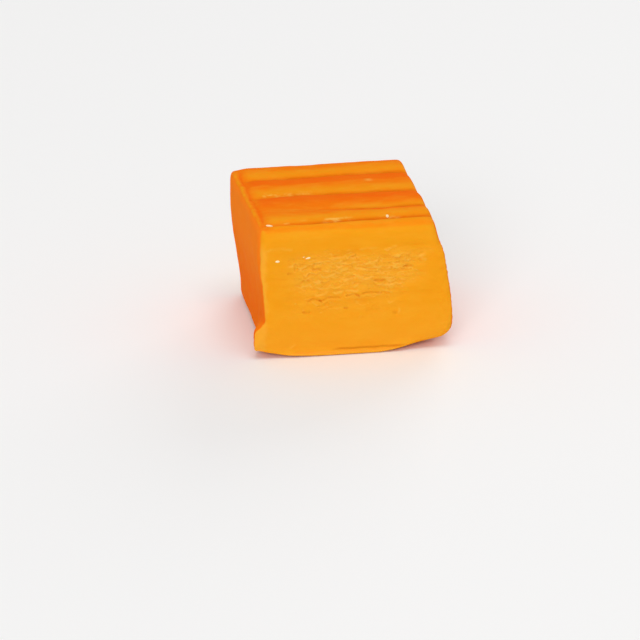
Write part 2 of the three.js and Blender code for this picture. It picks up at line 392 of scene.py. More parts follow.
chewRelief = {
    "Groove Cut": 0.09,    # extra depth along the bottom of a roller groove
    "Groove Width": 0.13,
    # width of the painted shade along a groove
    "Shade Width": 0.32,
    "Groove Shade": 0.60,  # painted shade: how far a groove takes the groove colour
    "Ridge Lip": 0.05,     # the front of a ridge stands up beside its groove
    "Tear Count": 45,      # short tears on the front
    "Tear Length": 0.8,
    "Tear Depth": 0.08,
    "Tear Width": 0.075,
    "Tear Lip": 0.04,      # the edge under a tear stands out
    "Tear Shade": 0.05,    # painted shade: how far a tear takes the crack colour
    "Crack Depth": 0.15,   # the long cracks
    "Crack Width": 0.11,
    "Crack Lip": 0.06,
    # painted shade in the long cracks
    "Crack Shade": 0.27,
    "Fold Depth": 0.09,    # soft folds
    "Fold Width": 0.2,
    "Pit Depth": 0.17,     # places where it gapes
    "Pit Width": 0.13,
    # painted shade in the pits
    "Pit Shade": 0.24,
    "Scar Height": 0.05,   # raised scars, painted pale along them as a highlight
    "Scar Width": 0.12,
    # painted highlight along the scars
    "Scar Pale": 0.18,
    "Flake Step": 0.06,    # flakes stand at different heights
    "Flake Lift": 0.09,    # the lower edge of a flake lifts off
    "Crumb Depth": 0.085,
    "Pale Edges": 0.29,    # painted highlight: how far raised edges take the fleck colour
    "Skin Step": 0.05,     # the torn patch lies under the skin around it
    "Foot Lip": 0.07,
    "Foot Crease": 0.12,
    "Rim Valley": 0.10,    # between the left rim and the ends of the ridges
    "Corner Lumps": 0.40,  # the cut corners of the front are uneven
    "Lump Depth": 0.2,
    "Strand Depth": 0.06,  # pulled strands along the ridges
    "Back Share": 0.7,     # the back is torn less than the front
    "Seed": 7,
}

# Parts of a point's normal over which each side sets in.
sideFacing = {
    "front": (-0.55, -0.9),      # y
    "back": (0.55, 0.9),
    "frontCut": (-0.3, -0.6),    # y; the cut colour, painted light, reaches further round the corners
    "backCut": (0.3, 0.6),
    "backCutShare": 0.55,
    "upright": (0.85, 0.5),      # z; and it ends towards the top
    "ends": (0.6, 0.95),         # x, to either end
    "top": (0.45, 0.85),         # z
    "clearOfBase": (0.15, 0.7),  # heights over which lumps set in, above a level base
}


def surfaceSpot(pen, sizes):
    # where each point lies in millimetres, and which way it faces
    facing = sideFacing
    metres = pen.add("GeometryNodeInputPosition").outputs[0]
    normal = pen.add("GeometryNodeInputNormal").outputs[0]
    place = pen.scaled(metres, 1 / mm)
    x, y, z = pen.split(place)
    faceX, faceY, faceZ = pen.split(normal)
    front = pen.ramp(faceY, *facing["front"])
    back = pen.ramp(faceY, *facing["back"])
    # the cut mask carries the front's painted light, and part of it onto the back
    backCut = pen.ramp(faceY, *facing["backCut"], 0.0, facing["backCutShare"])
    cut = pen.total(pen.ramp(faceY, *facing["frontCut"]), backCut)
    return SimpleNamespace(
        metres=metres, normal=normal, place=place, x=x, y=y, z=z, front=front,
        cut=pen.product(cut, pen.ramp(faceZ, *facing["upright"])),
        walls=pen.total(front, pen.product(back, sizes["Back Share"])),
        ends=pen.ramp(pen.calc("ABSOLUTE", faceX), *facing["ends"]),
        top=pen.ramp(faceZ, *facing["top"]),
        clearOfBase=pen.ramp(z, *facing["clearOfBase"]),
    )


# Lines along which the front came apart, as x, z of each point, read off the front of the real one.
longCracks = {
    "firstArc": [(-4.95, 6.24), (-4.48, 6.46), (-3.92, 6.41), (-3.55, 6.19)],
    "secondArc": [(-3.33, 6.30), (-2.81, 6.58), (-2.07, 6.58), (-1.54, 6.52)],
    "thirdArc": [(-0.76, 6.60), (-0.20, 6.80), (0.26, 6.77), (0.63, 6.50)],
    "lastArc": [(0.91, 6.70), (1.28, 6.90), (1.93, 6.90), (3.05, 6.80)],
}

# Soft folds above them and below them, and one on the ear.
folds = {
    "left": [(-5.05, 7.65), (-4.2, 7.68), (-3.6, 7.53), (-3.1, 7.62)],
    "middle": [(-1.8, 7.8), (-1.3, 7.88), (-0.75, 7.8)],
    "right": [(0.15, 7.96), (0.9, 8.05), (1.55, 7.97)],
    "low": [(1.56, 4.8), (2.1, 4.88), (2.95, 4.76)],
    "ear": [(-9.8, 3.5), (-9.1, 3.0), (-8.4, 2.45)],
}

# Places where the front gapes.
pits = {
    "firstArcEnd": [(-3.72, 6.28), (-3.52, 6.16)],
    "thirdArcEnd": [(0.46, 6.64), (0.65, 6.48)],
    "lowLeft": [(-5.5, 5.04), (-5.15, 4.97), (-4.85, 5.0)],
    "lowMiddle": [(-0.98, 5.3), (-0.72, 5.26)],
    "lowRight": [(4.4, 4.44), (4.6, 4.38), (4.75, 4.42)],
    "overLeft": [(-5.5, 8.5), (-5.2, 8.62), (-4.9, 8.5)],
    "overRight": [(2.3, 8.22), (2.9, 8.16), (3.4, 8.18)],
    "highLeft": [(-4.4, 9.76), (-4.0, 9.92), (-3.65, 9.84)],
    "highRight": [(5.55, 9.6), (5.8, 9.68), (6.1, 9.58), (6.45, 9.62)],
    "farLeft": [(-7.15, 9.56), (-6.8, 9.5)],
}

# Pale raised scars on the smooth part of the front.
scars = {
    "foot": [(-6.9, 1.0), (-6.4, 1.4)],
    "corner": [(5.45, 2.0), (5.65, 2.4), (5.5, 2.75)],
    "lowRight": [(4.9, 4.38), (5.08, 4.6), (5.0, 4.8)],
    "skinLeft": [(-9.9, 12.1), (-8.9, 12.45), (-8.0, 12.5), (-6.8, 12.3)],
    "skinMiddle": [(0.75, 11.85), (1.6, 12.0), (2.4, 12.0)],
    "skinRight": [(3.8, 11.8), (4.65, 12.0)],
}

# How far each kind of line strays up and down on its way, in long waves; the short ones are all alike.
lineStray = {"Tear": 0.55, "Crack": 0.15, "Fold": 0.25, "Pit": 0.1, "Scar": 0.3}

lineWaves = {
    "long": 1.1,        # waves per millimetre
    "short": {"scale": 4.0, "reach": 0.15},
    "drawnPoints": 12,  # on each stretch of a drawn line
}


def straightLine(pen, start, end, points):
    line = pen.add("GeometryNodeCurvePrimitiveLine", {"Start": start, "End": end})
    return pen.add("GeometryNodeResampleCurve", {"Curve": line.outputs[0], "Count": points}).outputs[0]


def wavyLines(pen, curves, stray):
    here = pen.add("GeometryNodeInputPosition").outputs[0]
    wave = pen.total(pen.sway(here, lineWaves["long"], stray), pen.sway(here, **lineWaves["short"]))
    wavy = pen.add("GeometryNodeSetPosition", {"Geometry": curves, "Offset": pen.join(z=wave)})
    return pen.add("GeometryNodeCurveToMesh", {"Curve": wavy.outputs[0]}).outputs[0]


def drawnLines(pen, lines, stray):
    joined = pen.add("GeometryNodeJoinGeometry")
    for line in lines.values():
        for (x0, z0), (x1, z1) in zip(line, line[1:]):
            stretch = straightLine(pen, (x0, 0, z0), (x1, 0, z1), lineWaves["drawnPoints"])
            pen.feed(joined.inputs[0], stretch)
    return wavyLines(pen, joined.outputs[0], stray)


tearArea = {
    "low": (-7.0, 0, 4.7),  # two corners of the area in which the short tears lie
    "high": (8.6, 0, 11.3),
    "tilt": (-0.28, 0.12),  # radians
    "length": (0.35, 1.6),  # least and greatest share of the tear length
    "points": 9,            # on each tear
}


def strewnTears(pen, sizes):
    # short level lines strewn over the torn patch, drawn in the x-z plane
    area = tearArea
    place = pen.randomValue("FLOAT_VECTOR", area["low"], area["high"], sizes["Seed"])
    points = pen.add("GeometryNodePoints", {"Count": sizes["Tear Count"], "Position": place})
    tear = straightLine(pen, (-0.5, 0, 0), (0.5, 0, 0), area["points"])
    tilt = pen.randomValue("FLOAT", *area["tilt"], pen.calc("ADD", sizes["Seed"], 1))
    share = pen.randomValue("FLOAT", *area["length"], pen.calc("ADD", sizes["Seed"], 2))
    scale = pen.join(pen.product(sizes["Tear Length"], share), 1.0, 1.0)
    strewn = pen.add("GeometryNodeInstanceOnPoints",
                     {"Points": points.outputs[0], "Instance": tear,
                      "Rotation": pen.join(y=tilt), "Scale": scale})
    strewn = pen.add("GeometryNodeRealizeInstances", {"Geometry": strewn.outputs[0]})
    return wavyLines(pen, strewn.outputs[0], lineStray["Tear"])


def nearestOn(pen, lines, place):
    # how far the nearest line is, and which point of it is nearest
    near = pen.add("GeometryNodeProximity", {"Geometry": lines, "Sample Position": place},
                   target_element="EDGES")
    return near.outputs["Distance"], near.outputs["Position"]


tearShape = {
    "turnedAt": 15.5,  # on the back a line lies at this height less its own
    "lipAway": 0.2,    # from the line to the middle of the lip under it
    "lipWidth": 0.13,
    "lipFade": 0.1,
}


def tears(pen, spot, lines, width, strength):
    # a cleft along each line and a lip under it; the back uses the same lines, turned upside down
    isBack = pen.calc("GREATER_THAN", spot.y, 0.0)
    turned = pen.ramp(isBack, 0.0, 1.0, 1.0, -1.0)
    upwards = pen.total(pen.product(isBack, tearShape["turnedAt"]), pen.product(spot.z, turned))
    away, nearest = nearestOn(pen, lines, pen.join(pen.product(spot.x, turned), 0.0, upwards))
    below = pen.minus(pen.split(nearest)[2], upwards)
    cleft = pen.product(pen.bell(away, width), strength)
    beside = pen.bell(pen.minus(away, tearShape["lipAway"]), tearShape["lipWidth"])
    lip = pen.product(beside, pen.ramp(below, -tearShape["lipFade"], tearShape["lipFade"]), strength)
    return cleft, lip


tornArea = {
    "left": (-9.0, -4.8),     # x over which the torn patch sets in
    "right": (3.6, 7.6),      # and dies out
    "widerAt": (6.0, 9.5),    # z over which it comes to reach further right
    "widerBy": 1.4,
    "low": 4.3,
    "high": 11.4,
    "fade": 0.9,
    # how its border strays
    "rag": {"scale": 0.5, "reach": 6.0, "detail": 3.0},
    "ragUpright": 0.35,       # and how much less it does so up and down
    "roughFrom": (6.0, 8.4),  # z over which the flakes set in, above the long cracks
    "smoothShare": 0.3,       # what is left of them further down
}


def tornPatch(pen, spot):
    # wide near the skin, narrower further down, with a ragged border; and its flaky part
    area = tornArea
    rag = pen.sway(spot.place, **area["rag"])
    across = pen.total(spot.x, rag)
    widening = pen.ramp(spot.z, *area["widerAt"], 0.0, area["widerBy"])
    left = pen.ramp(across, *area["left"])
    right = pen.ramp(pen.minus(across, widening), *area["right"], 1.0, 0.0)
    upwards = pen.total(spot.z, pen.product(rag, area["ragUpright"]))
    upright = pen.band(upwards, area["low"], area["high"], area["fade"])
    patch = pen.product(left, right, upright, spot.walls)
    return patch, pen.product(patch, pen.ramp(spot.z, *area["roughFrom"], area["smoothShare"], 1.0))


flakeShape = {
    "drift": 0.9,               # waves per millimetre that bend the flakes' borders
    "driftReach": (1.6, 1.6, 1.6),
    "perMm": (0.85, 0.8, 2.5),  # flakes along each axis
    "cover": 1.2,               # so that every flake shows where it is fully torn
    "coverFade": 0.2,
    "liftsFrom": (0.25, 0.45),  # random number from which a lower edge lifts
    "sinks": -0.5,              # and how far it sinks otherwise
    "stepReach": 2.0,
    "paleFrom": (0.12, 0.4),    # lift over which the edge gets a painted highlight
}


def flakes(pen, spot, sizes, flaky):
    # thin level flakes: each stands at its own height and lifts along its lower edge
    form = flakeShape
    bent = pen.vector("MULTIPLY_ADD", pen.drift(spot.place, form["drift"]), form["driftReach"], spot.place)
    stretched = pen.vector("MULTIPLY", bent, form["perMm"])
    cells = pen.add("ShaderNodeTexVoronoi", {"Vector": stretched, "Scale": 1.0})
    level, chance, sign = pen.split(cells.outputs["Color"])
    showing = pen.ramp(pen.minus(pen.product(flaky, form["cover"]), chance), 0.0, form["coverFade"])
    towardsFoot = pen.split(pen.vector("SUBTRACT", cells.outputs["Position"], stretched))[2]
    lift = pen.product(towardsFoot, pen.ramp(sign, *form["liftsFrom"], form["sinks"], 1.0))
    step = pen.product(pen.minus(level, 0.5), form["stepReach"])
    height = pen.total(pen.product(lift, sizes["Flake Lift"]), pen.product(step, sizes["Flake Step"]))
    return pen.product(height, showing), pen.product(pen.ramp(lift, *form["paleFrom"]), showing)


crumbShape = {
    "swell": {"scale": 1.5, "roughness": 0.6, "stretch": (0.8, 0.8, 2.2), "shift": (4, 1, 8)},
    "foldWidth": 0.07,       # of the swell's range, on either side of its middle
    "foldShare": 0.6,
    "crumb": {"scale": 2.7, "reach": 1.6, "roughness": 0.6, "stretch": (0.7, 1, 1.3)},
    "paleFrom": (0.1, 0.4),  # height over which a crumb gets a painted highlight
}


def crumbs(pen, spot, sizes, flaky):
    # fine crumbling, with thin folds where the sugar pulled apart
    form = crumbShape
    swell = pen.noise(spot.place, **form["swell"])
    fold = pen.ramp(pen.calc("ABSOLUTE", pen.minus(swell, 0.5)), 0.0, form["foldWidth"], -1.0, 0.0)
    crumb = pen.sway(spot.place, **form["crumb"])
    uneven = pen.total(pen.product(fold, form["foldShare"]), crumb)
    height = pen.product(uneven, sizes["Crumb Depth"], flaky)
    return height, pen.product(pen.ramp(crumb, *form["paleFrom"]), flaky)


footShape = {
    "forward": (-8.8, -9.6),          # y over which the lip and the crease set in
    "creaseAt": 0.64,                 # height of the crease
    "wobble": {"scale": 0.6, "reach": 0.2},
    "creaseWidth": 0.09,
    "creaseAlong": (-2.0, 5.6, 0.8),  # x where it starts and ends, and how softly
    "lipUnder": 0.36,                 # from the crease down to the middle of the lip
    "lipWidth": 0.28,
    "lipAlong": (-8.0, 5.0, 1.6),
}


def footLip(pen, spot, sizes):
    # the front foot is squeezed out into a thin lip with a crease above it; the lip and the crease also
    # serve as masks for a painted highlight and painted shade
    form = footShape
    above = pen.minus(spot.z, pen.total(pen.sway(spot.place, **form["wobble"]), form["creaseAt"]))
    forward = pen.ramp(spot.y, *form["forward"])
    creaseLine = pen.bell(above, form["creaseWidth"])
    crease = pen.product(creaseLine, pen.band(spot.x, *form["creaseAlong"]), forward)
    lipLine = pen.bell(pen.total(above, form["lipUnder"]), form["lipWidth"])
    lip = pen.product(lipLine, pen.band(spot.x, *form["lipAlong"]), forward)
    height = pen.minus(pen.product(lip, sizes["Foot Lip"]), pen.product(crease, sizes["Foot Crease"]))
    return height, crease, lip


rimShape = {
    "valleyLeft": 9.55,         # from the middle of the chew to the valley
    "wobble": {"scale": 0.5, "reach": 0.5},
    "valleyWidth": 0.28,
    "along": (-8.2, 8.2, 1.0),  # y where both start and end, and how softly
    "rimOut": 0.5,              # from the valley out to the rim
    "rimWidth": 0.32,
    "rimHeight": 0.8,           # share of the valley's depth
    "lumps": {"scale": 0.9, "shift": (2, 6, 1), "between": (0.35, 0.6), "least": 0.3},
}


def leftRim(pen, spot):
    # a shallow valley parts the lumpy left rim from the ends of the ridges
    form = rimShape
    inwards = pen.total(spot.x, form["valleyLeft"], pen.sway(spot.place, **form["wobble"]))
    reach = pen.product(spot.top, pen.band(spot.y, *form["along"]))
    valley = pen.product(pen.bell(inwards, form["valleyWidth"]), reach)
    rimLine = pen.bell(pen.total(inwards, form["rimOut"]), form["rimWidth"])
    return valley, pen.product(rimLine, reach, pen.patchy(spot.place, **form["lumps"]))


cornerShape = {
    "lumps": {"scale": 1.1, "reach": 1.0, "stretch": (1, 1, 0.6), "shift": (3, 5, 2)},
    "rough": {"scale": 3.2, "reach": 0.5, "shift": (6, 6, 1)},
    "rag": {"scale": 0.9, "reach": 1.0, "shift": (8, 1, 1)},
    "forward": (-8.6, -9.6),  # y over which both corners set in
    "left": (-9.2, -9.9),     # x over which each of them does
    "right": (8.8, 9.9),
    "under": (13.2, 12.0),    # z over which they set in from the top down
    "rightLumps": 0.4,        # the right one is less lumpy
}


def frontCorners(pen, spot, sizes):
    # the upright edges of the front are softly uneven, and pale on the left
    form = cornerShape
    lump = pen.sway(spot.place, **form["lumps"])
    rough = pen.sway(spot.place, **form["rough"])
    ragged = pen.total(spot.x, pen.sway(spot.place, **form["rag"]))
    forward = pen.ramp(spot.y, *form["forward"])
    under = pen.ramp(spot.z, *form["under"])
    left = pen.product(pen.ramp(ragged, *form["left"]), forward, under)
    right = pen.product(pen.ramp(spot.x, *form["right"]), forward, under)
    leftHeight = pen.product(pen.total(lump, rough), left)
    rightHeight = pen.product(pen.total(pen.product(lump, form["rightLumps"]), rough), right)
    height = pen.product(pen.total(leftHeight, rightHeight), sizes["Corner Lumps"], spot.clearOfBase)
    return height, pen.product(left, spot.cut)


# The roller grooves, counted from the back; the third fades out towards the left. Each ridge gets a painted
# highlight on its front and painted shade on its back, as light from the front would give.
grooveLook = {
    "thirdAt": (-6.5, -3.2),     # y between which the third groove lies
    "thirdFrom": (-2.5, 2.0),    # x over which it sets in
    "thirdReach": 1.5,           # how far both colours reach from it
    "shadeReach": 3.6,            # the painted shade reaches this far in front of another groove
    "frontReach": 0.5,           # but only this far on the roll in front of the last one
    "frontAt": (-8.2, -7.4),     # y over which that changes
    "highlightReach": 2.6,           # and the painted highlight reaches this far behind a groove
    "rollFrom": (-0.1, -0.4),    # from so far in front of that groove the roll gets the painted highlight
    "rollAt": (-7.6, -8.2),      # y over which the roll begins
    "startsAt": (-9.7, -8.4),    # x over which the colours set in next to the rim
    # how the colours' borders stray
    "border": {"scale": 0.8, "reach": 0.9, "stretch": (0.3, 1, 1)},
    "highlightFrom": (-0.15, 0.45),  # distance behind the groove over which the painted highlight sets in
    "drawnTo": (1.0, 0.35),      # share of its reach over which it dies out
    "shadeFrom": (-0.45, 0.15),   # the same for the painted shade, in front of the groove
    "shadeTo": (-1.15, -0.55),
    "uneven": {"scale": 0.6, "shift": (2, 9, 4), "between": (0.3, 0.7), "least": 0.55},
    "weakAt": (-9.8, -2.0),      # x over which the grooves come to their full strength
    "weakShare": 0.3,
    "lipBehind": 0.7,            # from a groove to the middle of the lip behind it
    "lipWidth": 0.6,
}


def grooveLines(pen, spot, solid, third):
    # the third groove, or all the others: how far the nearest bottom is, and how far a point is behind it
    fold = pen.add("GeometryNodeInputMeshEdgeAngle").outputs["Signed Angle"]
    ends = pen.add("GeometryNodeInputMeshEdgeVertices").outputs
    along = pen.vector("NORMALIZE", pen.vector("SUBTRACT", ends["Position 2"], ends["Position 1"]))
    lengthwise = pen.calc("GREATER_THAN", pen.calc("ABSOLUTE", pen.split(along)[0]), chewMesh["grooveAlong"])
    low, high = grooveLook["thirdAt"]
    inThird = pen.product(pen.calc("GREATER_THAN", spot.y, low), pen.calc("LESS_THAN", spot.y, high))
    groove = pen.product(pen.calc("GREATER_THAN", spot.z, chewMesh["grooveAbove"]),
                         pen.calc("LESS_THAN", fold, chewMesh["grooveFold"]), lengthwise,
                         inThird if third else pen.minus(1.0, inThird))
    lines = pen.add("GeometryNodeSeparateGeometry", {"Geometry": solid, "Selection": groove}, domain="EDGE")
    away, nearest = nearestOn(pen, lines.outputs["Selection"], spot.metres)
    grooveY = pen.product(pen.split(nearest)[1], 1 / mm)
    return pen.product(away, 1 / mm), pen.minus(spot.y, grooveY)


# painted shade in front of a groove, on the back of the ridge there; a painted highlight behind it, on the
# front of the ridge behind
def grooveColours(pen, spot, behind, shadeReach, highlightReach):
    # deep colour in front of a groove, drawn skin behind it
    look = grooveLook
    ragged = pen.total(behind, pen.sway(spot.place, **look["border"]))
    drawn = pen.product(pen.ramp(pen.calc("DIVIDE", ragged, highlightReach), *look["drawnTo"]),
                        pen.ramp(behind, *look["highlightFrom"]))
    paintedShade = pen.product(pen.ramp(pen.calc("DIVIDE", ragged, shadeReach), *look["shadeTo"]),
                       pen.ramp(behind, *look["shadeFrom"], 1.0, 0.0))
    return drawn, paintedShade


def ridges(pen, spot, sizes):
    look = grooveLook
    away, behind = grooveLines(pen, spot, sizes["Geometry"], third=False)
    shadeReach = pen.ramp(spot.y, *look["frontAt"], look["frontReach"], look["shadeReach"])
    drawn, paintedShade = grooveColours(pen, spot, behind, shadeReach, look["highlightReach"])
    awayThird, behindThird = grooveLines(pen, spot, sizes["Geometry"], third=True)
    highlightThird, paintedShadeThird = grooveColours(pen, spot, behindThird, look["thirdReach"], look["thirdReach"])
    there = pen.ramp(spot.x, *look["thirdFrom"])
    highlightThird = pen.product(highlightThird, there)
    paintedShadeThird = pen.product(paintedShadeThird, there)
    # the roll in front of the last groove gets the painted highlight as well
    roll = pen.product(pen.ramp(behind, *look["rollFrom"]), pen.ramp(spot.y, *look["rollAt"]))

    onTop = pen.product(spot.top, pen.ramp(spot.x, *look["startsAt"]))
    paintedShade = pen.most(pen.product(paintedShade, pen.minus(1.0, highlightThird), pen.minus(1.0, roll)), paintedShadeThird)
    drawn = pen.most(pen.product(drawn, pen.minus(1.0, paintedShadeThird)), highlightThird, roll)
    strength = pen.product(pen.patchy(spot.place, **look["uneven"]),
                           pen.ramp(spot.x, *look["weakAt"], look["weakShare"], 1.0))

    def lines(width):
        third = pen.product(pen.bell(awayThird, width), there)
        return pen.product(pen.most(pen.bell(away, width), third), strength)

    beside = pen.bell(pen.minus(behind, look["lipBehind"]), look["lipWidth"])
    return SimpleNamespace(
        cut=lines(sizes["Groove Width"]), cleftShade=lines(sizes["Shade Width"]),
        lip=pen.product(beside, drawn, onTop, sizes["Ridge Lip"]),
        drawn=pen.product(drawn, onTop), paintedShade=pen.product(paintedShade, onTop),
    )


# Pale flecks and painted glints along the ridges: x and y of each patch, and the streak noise that they show
# from.
fleckPatches = {
    "secondRidge": {"x": (-8.2, -2.6), "y": (0.3, 1.1), "from": 0.44},
    "fourthLeft": {"x": (-7.6, -5.0), "y": (-8.6, -8.1), "from": 0.5},
    "fourthMiddle": {"x": (-3.0, 0.2), "y": (-8.7, -7.9), "from": 0.43},
    "fourthRight": {"x": (3.0, 5.4), "y": (-8.6, -8.0), "from": 0.44},
    # a painted soft glint
    "spot": {"x": (3.8, 4.3), "y": (3.0, 3.4), "from": 0.1},
}

fleckLook = {
    "streaks": {"scale": 2.6, "detail": 3.0, "roughness": 0.6, "stretch": (0.5, 1.3, 1), "shift": (7, 0, 2)},
    "rise": 0.3,   # streak noise over which a fleck sets in
    "fadeX": 0.4,  # how softly a patch ends along the ridge and across it
    "fadeY": 0.2,
    "share": 0.72,
}


def ridgeFlecks(pen, spot):
    look = fleckLook
    streak = pen.noise(spot.place, **look["streaks"])
    patches = [pen.product(pen.band(spot.x, *patch["x"], look["fadeX"]),
                           pen.band(spot.y, *patch["y"], look["fadeY"]),
                           pen.ramp(streak, patch["from"], patch["from"] + look["rise"]))
               for patch in fleckPatches.values()]
    return pen.product(pen.total(*patches), spot.top, look["share"])


reliefLook = {
    "tearPatches": {"scale": 0.8, "detail": 1.0, "shift": (11, 3, 5), "between": (0.35, 0.6), "least": 0.25},
    "tearsFrom": (0.1, 0.7),  # how flaky it is where the short tears set in
    "crackPatches": {"scale": 1.6, "shift": (1, 2, 3), "between": (0.38, 0.55), "least": 0.6},
    "lumps": {"scale": 0.3, "reach": 1.0},
    "strands": {"scale": 1.0, "reach": 1.0, "detail": 3.0, "stretch": (0.16, 1.7, 1.7)},
    "strandTop": 0.7,
    "strandFront": 1.5,
    "paleCrack": 0.3,         # shares of the painted highlights on edges
    "paleFlake": 0.8,
    "paleCrumb": 0.6,
    "paleFoot": 0.16,         # shares of the fleck colour; on the foot lip a painted highlight
    "paleCorner": 0.16,
    "paleLow": 0.05,
    "lowFront": (6.0, 1.5),   # z over which painted light makes the front paler towards its foot, where it is lit less
    # painted shade in the foot crease
    "creaseShade": 0.6,
    "valleyShade": 0.8,       # shares of the painted shade colour
    "endShade": 0.75,
    "endsFrom": (13.0, 4.0),  # z over which painted shade darkens the ends towards the foot
}


def makeReliefTree(sizes):
    look = reliefLook
    pen, given, output = newTree("chewRelief", sizes)
    spot = surfaceSpot(pen, given)
    torn, flaky = tornPatch(pen, spot)

    def alongLines(kind, lines, strength):
        drawn = drawnLines(pen, lines, lineStray[kind])
        return tears(pen, spot, drawn, given[kind + " Width"], strength)

    def weighed(parts):
        # each mask times the tree's input of that name
        return [pen.product(mask, given[name]) for name, mask in parts.items()]

    fade = pen.patchy(spot.place, **look["tearPatches"])
    strewn = pen.product(fade, pen.ramp(flaky, *look["tearsFrom"]), spot.walls)
    broken = pen.product(pen.patchy(spot.place, **look["crackPatches"]), spot.walls)
    cleft, tearLip = tears(pen, spot, strewnTears(pen, given), given["Tear Width"], strewn)
    crack, crackLip = alongLines("Crack", longCracks, broken)
    fold = alongLines("Fold", folds, spot.walls)[0]
    pit = alongLines("Pit", pits, broken)[0]
    scar = alongLines("Scar", scars, pen.product(fade, spot.front))[0]
    flakeHeight, flakeEdge = flakes(pen, spot, given, flaky)
    crumbHeight, crumbEdge = crumbs(pen, spot, given, flaky)
    footHeight, crease, footEdge = footLip(pen, spot, given)
    cornerHeight, paleCorner = frontCorners(pen, spot, given)
    valley, rim = leftRim(pen, spot)
    ridge = ridges(pen, spot, given)

    lumps = pen.product(pen.sway(spot.place, **look["lumps"]), given["Lump Depth"], spot.clearOfBase)
    strandShare = pen.total(pen.product(spot.top, look["strandTop"]),
                            pen.product(spot.front, look["strandFront"]))
    strands = pen.product(pen.sway(spot.place, **look["strands"]), given["Strand Depth"], strandShare)
    raised = pen.total(*weighed({"Tear Lip": tearLip, "Crack Lip": crackLip, "Scar Height": scar}),
                       flakeHeight, crumbHeight, footHeight, cornerHeight, ridge.lip, lumps, strands,
                       pen.product(rim, rimShape["rimHeight"], given["Rim Valley"]))
    sunken = pen.total(*weighed({"Tear Depth": cleft, "Crack Depth": crack, "Fold Depth": fold,
                                 "Pit Depth": pit, "Skin Step": torn, "Rim Valley": valley}))

    # painted highlights on the raised edges of tears, cracks, flakes and crumbs
    paleEdges = pen.most(tearLip, pen.product(crackLip, look["paleCrack"]),
                         pen.product(flakeEdge, look["paleFlake"]),
                         pen.product(crumbEdge, look["paleCrumb"]))
    # the pale colour: pale flecks and painted glints on the ridges, painted highlights on scars, raised
    # edges and the foot lip, painted light low on the front, and the pale left corner
    pale = pen.most(ridgeFlecks(pen, spot), *weighed({"Scar Pale": scar, "Pale Edges": paleEdges}),
                    pen.product(footEdge, look["paleFoot"]), pen.product(paleCorner, look["paleCorner"]),
                    pen.product(spot.front, pen.ramp(spot.z, *look["lowFront"]), look["paleLow"]))
    # painted shade in tears, cracks, pits and the foot crease
    cleftShade = pen.most(*weighed({"Tear Shade": cleft, "Crack Shade": crack, "Pit Shade": pit}),
                     pen.product(crease, look["creaseShade"]))
    # painted shade: the ends darken towards the foot, and the rim valley and the backs of the ridges are
    # darkened
    endShade = pen.product(spot.ends, pen.ramp(spot.z, *look["endsFrom"]), look["endShade"])
    paintedShade = pen.most(ridge.paintedShade, pen.product(valley, look["valleyShade"]), endShade)
    # cut is painted light on the front and back; drawn is a painted highlight on the ridge fronts, the roll
    # and the left rim; groove is painted shade along the grooves
    masks = {"ends": spot.ends, "cut": spot.cut, "paintedShade": paintedShade, "drawn": pen.most(ridge.drawn, rim),
             "torn": flaky, "fleckAndHighlight": pale, "crack": cleftShade,
             "groove": pen.product(ridge.cleftShade, given["Groove Shade"])}

    # the masks are stored before the points move, so that they lie where the relief does
    surface = given["Geometry"]
    for name, value in masks.items():
        stored = pen.add("GeometryNodeStoreNamedAttribute",
                         {"Geometry": surface, "Name": name, "Value": value},
                         data_type="FLOAT", domain="POINT")
        surface = stored.outputs[0]
    outward = pen.scaled(spot.normal, pen.product(pen.minus(raised, sunken), mm))
    downward = pen.join(z=pen.product(ridge.cut, given["Groove Cut"], -mm))
    offset = pen.vector("ADD", outward, downward)
    moved = pen.add("GeometryNodeSetPosition", {"Geometry": surface, "Offset": offset})
    shaded = pen.add("GeometryNodeSetShadeSmooth", {"Geometry": moved.outputs[0]})
    endTree(pen, shaded.outputs[0], given["Finish"], output)
    return pen.tree


def makeChew():
    chew = addObject("orangeChew", chewSurface())
    sizes = {**chewRelief, "Finish": makeOrangeSugar()}
    growMesh(chew, makeReliefTree(sizes), sizes)
    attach(chew, "root")
    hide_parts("chew")
    print("chew:", len(chew.data.vertices), "points,", len(chew.data.loop_triangles), "triangles")
    return chew


# Sugar grains stuck to the skin

sugarGrains = {
    "Grain Size": 0.15,    # half the length of a plain grain
    "Grain Height": 0.45,  # height and width are shares of the length
    "Grain Width": 0.7,
}

grainSurface = {"roundness": 3, "lumpsPerMm": 4, "lumpDepth": 0.12}

# Where the grains lie: x, z on the front and back, y, z on the right, x, y on the top.
grainSpots = {
    "skinLeft": {"side": "front", "at": (-8.35, 11.05), "size": 1.2, "drawnOut": 1.3},
    "skinStreak": {"side": "front", "at": (-5.0, 11.2), "size": 0.8, "drawnOut": 2.4},
    "skinCrumb": {"side": "front", "at": (-5.45, 11.32), "size": 0.5, "drawnOut": 1.4},
    "grooveEnd": {"side": "top", "at": (-8.95, -8.5), "size": 1.2, "drawnOut": 2.2},
    "frontRidge": {"side": "top", "at": (4.05, -8.08), "size": 1.9, "drawnOut": 0.6},
    "farRight": {"side": "right", "at": (3.1, 9.2), "size": 0.9, "drawnOut": 1.4},
    "lowRight": {"side": "right", "at": (-4.6, 4.1), "size": 0.7, "drawnOut": 1.0},
    "backHigh": {"side": "back", "at": (2.7, 11.5), "size": 1.0, "drawnOut": 2.0},
    "backLow": {"side": "back", "at": (-5.2, 3.4), "size": 0.8, "drawnOut": 1.2},
}

